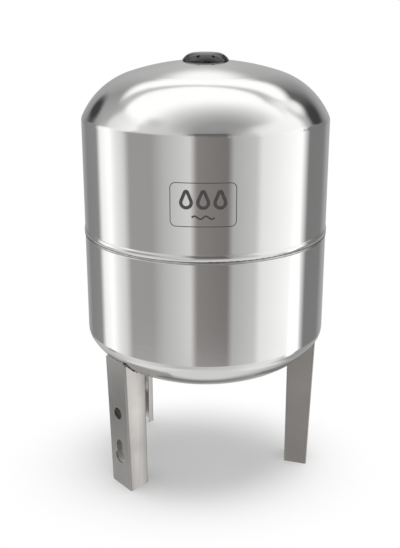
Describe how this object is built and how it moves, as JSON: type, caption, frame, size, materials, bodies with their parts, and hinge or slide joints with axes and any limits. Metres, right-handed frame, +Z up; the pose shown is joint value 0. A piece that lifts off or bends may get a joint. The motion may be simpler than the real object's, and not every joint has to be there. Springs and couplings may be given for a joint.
{
  "type": "well pressure tank",
  "caption": "Upright stainless pressure tank with domed ends, a mid seam, folded sheet legs, a low top cap and a threaded water port below.",
  "frame": {"origin": "on the floor, on the tank's axis", "axes": "+Z up along the tank's axis, -Y towards the front of the picture, +X to its right"},
  "size_m": [0.4724, 0.4723, 0.8314],
  "materials": {
    "shell_steel": "fine round brushing, bright",
    "weld_bead": "rippled weld, wire brushed",
    "leg_steel": "mill finish sheet, satin",
    "turned_steel": "turned",
    "fastener_steel": "bright zinc plate",
    "bladder_rubber": "matt moulded",
    "seal_rubber": "matt",
    "valve_brass": "turned",
    "dust_cap_plastic": "matt",
    "cap_plastic": "moulded, half gloss"
  },
  "bodies": {
    "root": {"upper_shell": "shell_steel", "lower_shell": "shell_steel", "seam_weld": "weld_bead", "leg_front_left": "leg_steel", "leg_right": "leg_steel", "leg_rear_left": "leg_steel", "neck_ring": "turned_steel", "counter_flange": "turned_steel", "port_socket": "turned_steel", "flange_bolts": "fastener_steel", "flange_washers": "fastener_steel", "bladder": "bladder_rubber", "valve_seat": "turned_steel", "hanger_stem": "fastener_steel", "hanger_washer": "fastener_steel", "hanger_nut": "fastener_steel", "valve_gasket": "seal_rubber", "valve_body": "valve_brass", "valve_core": "valve_brass", "valve_cap": "dust_cap_plastic", "top_cap": "cap_plastic"}
  },
  "joints": []
}
